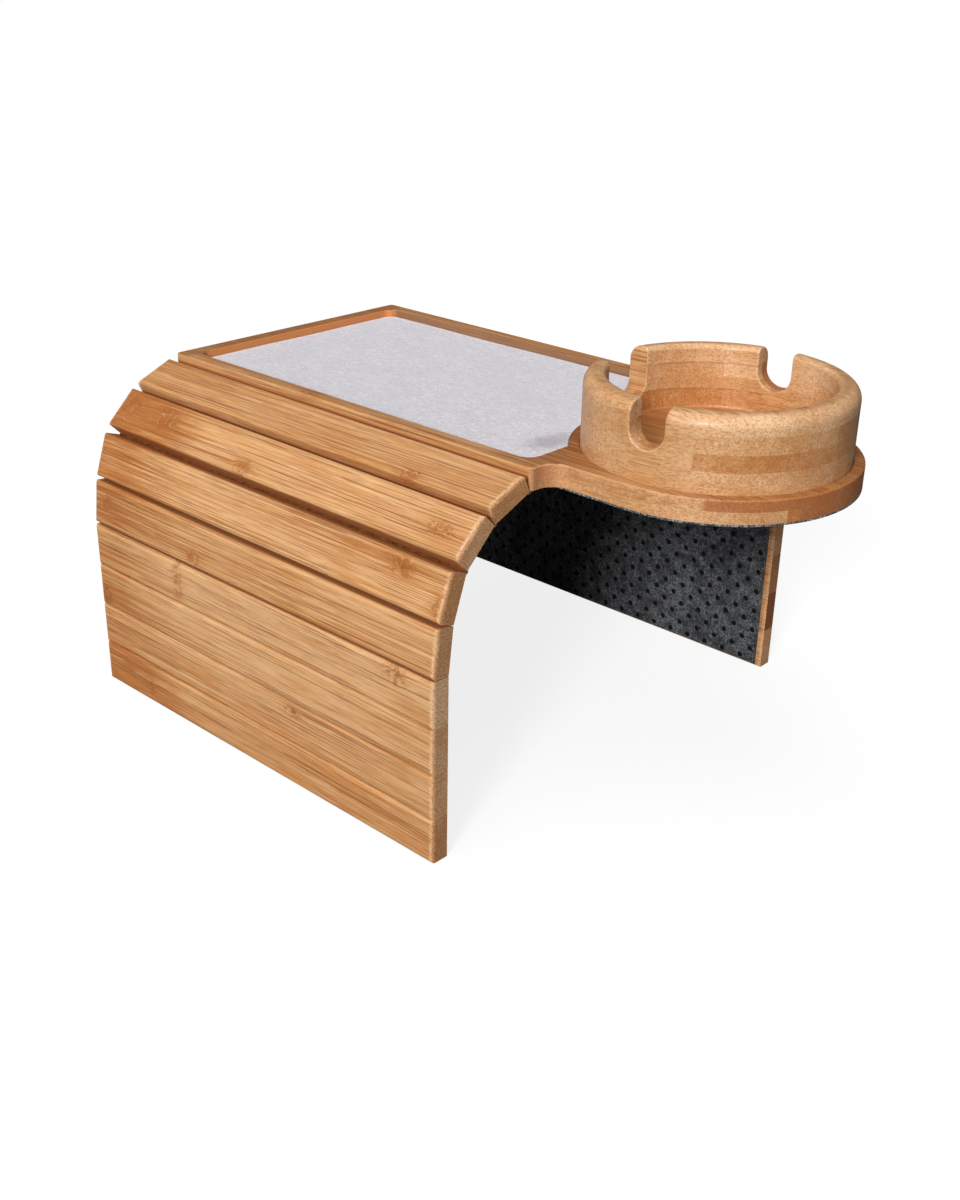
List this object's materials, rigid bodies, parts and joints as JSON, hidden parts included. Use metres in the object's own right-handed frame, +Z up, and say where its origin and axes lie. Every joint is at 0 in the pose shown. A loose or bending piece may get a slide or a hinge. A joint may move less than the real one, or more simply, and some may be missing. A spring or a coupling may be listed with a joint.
{
  "type": "sofa arm tray",
  "caption": "Sofa arm tray: flat bamboo panel with a felt-lined well and a round lobe that seats a lift-out ashtray, with slatted wings on a felt lining that drape over the armrest.",
  "frame": {"origin": "in the underside of the lining, below the middle of the panel, where the tray rests on the sofa arm", "axes": "+Z up, -Y toward the lobe and ashtray (the front), +X to the right wing and -X to the left wing"},
  "size_m": [0.2646, 0.3397, 0.1977],
  "materials": {
    "panel_bamboo": "satin",
    "slat_bamboo": "satin",
    "ashtray_bamboo": "satin",
    "insert_felt": "matt felt",
    "lining_felt": "matt felt with raised dots"
  },
  "bodies": {
    "tray": {"tray_panel": "panel_bamboo", "tray_felt": "insert_felt", "tray_lining": "lining_felt"},
    "ashtray": {"ashtray": "ashtray_bamboo"},
    "left_1": {"left_slat_1": "slat_bamboo", "left_lining_1": "lining_felt"},
    "left_2": {"left_slat_2": "slat_bamboo", "left_lining_2": "lining_felt"},
    "left_3": {"left_slat_3": "slat_bamboo", "left_lining_3": "lining_felt"},
    "left_4": {"left_slat_4": "slat_bamboo", "left_lining_4": "lining_felt"},
    "left_5": {"left_slat_5": "slat_bamboo", "left_lining_5": "lining_felt"},
    "left_6": {"left_slat_6": "slat_bamboo", "left_lining_6": "lining_felt"},
    "left_7": {"left_slat_7": "slat_bamboo", "left_lining_7": "lining_felt"},
    "left_8": {"left_slat_8": "slat_bamboo", "left_lining_8": "lining_felt"},
    "right_1": {"right_slat_1": "slat_bamboo", "right_lining_1": "lining_felt"},
    "right_2": {"right_slat_2": "slat_bamboo", "right_lining_2": "lining_felt"},
    "right_3": {"right_slat_3": "slat_bamboo", "right_lining_3": "lining_felt"},
    "right_4": {"right_slat_4": "slat_bamboo", "right_lining_4": "lining_felt"},
    "right_5": {"right_slat_5": "slat_bamboo", "right_lining_5": "lining_felt"},
    "right_6": {"right_slat_6": "slat_bamboo", "right_lining_6": "lining_felt"},
    "right_7": {"right_slat_7": "slat_bamboo", "right_lining_7": "lining_felt"},
    "right_8": {"right_slat_8": "slat_bamboo", "right_lining_8": "lining_felt"}
  },
  "joints": [
    {"name": "ashtray_lift", "type": "slide", "parent": "tray", "child": "ashtray", "axis": [0, 0, 1], "range_m": [0, 0.06]},
    {"name": "left_seam_1", "type": "hinge", "parent": "tray", "child": "left_1", "pos_m": [-0.076, 0, 0], "axis": [0, -1, 0], "range_deg": [-22.5, 13.5]},
    {"name": "left_seam_2", "type": "hinge", "parent": "left_1", "child": "left_2", "pos_m": [-0.09633, 0, -0.00842], "axis": [0, -1, 0], "range_deg": [-21.5, 14.5]},
    {"name": "left_seam_3", "type": "hinge", "parent": "left_2", "child": "left_3", "pos_m": [-0.11215, 0, -0.0237], "axis": [0, -1, 0], "range_deg": [-27, 9]},
    {"name": "left_seam_4", "type": "hinge", "parent": "left_3", "child": "left_4", "pos_m": [-0.11931, 0, -0.0445], "axis": [0, -1, 0], "range_deg": [-12.5, 23.5]},
    {"name": "left_seam_5", "type": "hinge", "parent": "left_4", "child": "left_5", "pos_m": [-0.1218, 0, -0.06636], "axis": [0, -1, 0], "range_deg": [-6.5, 29.5]},
    {"name": "left_seam_6", "type": "hinge", "parent": "left_5", "child": "left_6", "pos_m": [-0.1218, 0, -0.08836], "axis": [0, -1, 0], "range_deg": [0, 36]},
    {"name": "left_seam_7", "type": "hinge", "parent": "left_6", "child": "left_7", "pos_m": [-0.1218, 0, -0.11036], "axis": [0, -1, 0], "range_deg": [0, 36]},
    {"name": "left_seam_8", "type": "hinge", "parent": "left_7", "child": "left_8", "pos_m": [-0.1218, 0, -0.13236], "axis": [0, -1, 0], "range_deg": [0, 36]},
    {"name": "right_seam_1", "type": "hinge", "parent": "tray", "child": "right_1", "pos_m": [0.076, 0, 0], "axis": [0, 1, 0], "range_deg": [-22.5, 13.5]},
    {"name": "right_seam_2", "type": "hinge", "parent": "right_1", "child": "right_2", "pos_m": [0.09633, 0, -0.00842], "axis": [0, 1, 0], "range_deg": [-21.5, 14.5]},
    {"name": "right_seam_3", "type": "hinge", "parent": "right_2", "child": "right_3", "pos_m": [0.11215, 0, -0.0237], "axis": [0, 1, 0], "range_deg": [-27, 9]},
    {"name": "right_seam_4", "type": "hinge", "parent": "right_3", "child": "right_4", "pos_m": [0.11931, 0, -0.0445], "axis": [0, 1, 0], "range_deg": [-12.5, 23.5]},
    {"name": "right_seam_5", "type": "hinge", "parent": "right_4", "child": "right_5", "pos_m": [0.1218, 0, -0.06636], "axis": [0, 1, 0], "range_deg": [-6.5, 29.5]},
    {"name": "right_seam_6", "type": "hinge", "parent": "right_5", "child": "right_6", "pos_m": [0.1218, 0, -0.08836], "axis": [0, 1, 0], "range_deg": [0, 36]},
    {"name": "right_seam_7", "type": "hinge", "parent": "right_6", "child": "right_7", "pos_m": [0.1218, 0, -0.11036], "axis": [0, 1, 0], "range_deg": [0, 36]},
    {"name": "right_seam_8", "type": "hinge", "parent": "right_7", "child": "right_8", "pos_m": [0.1218, 0, -0.13236], "axis": [0, 1, 0], "range_deg": [0, 36]}
  ]
}
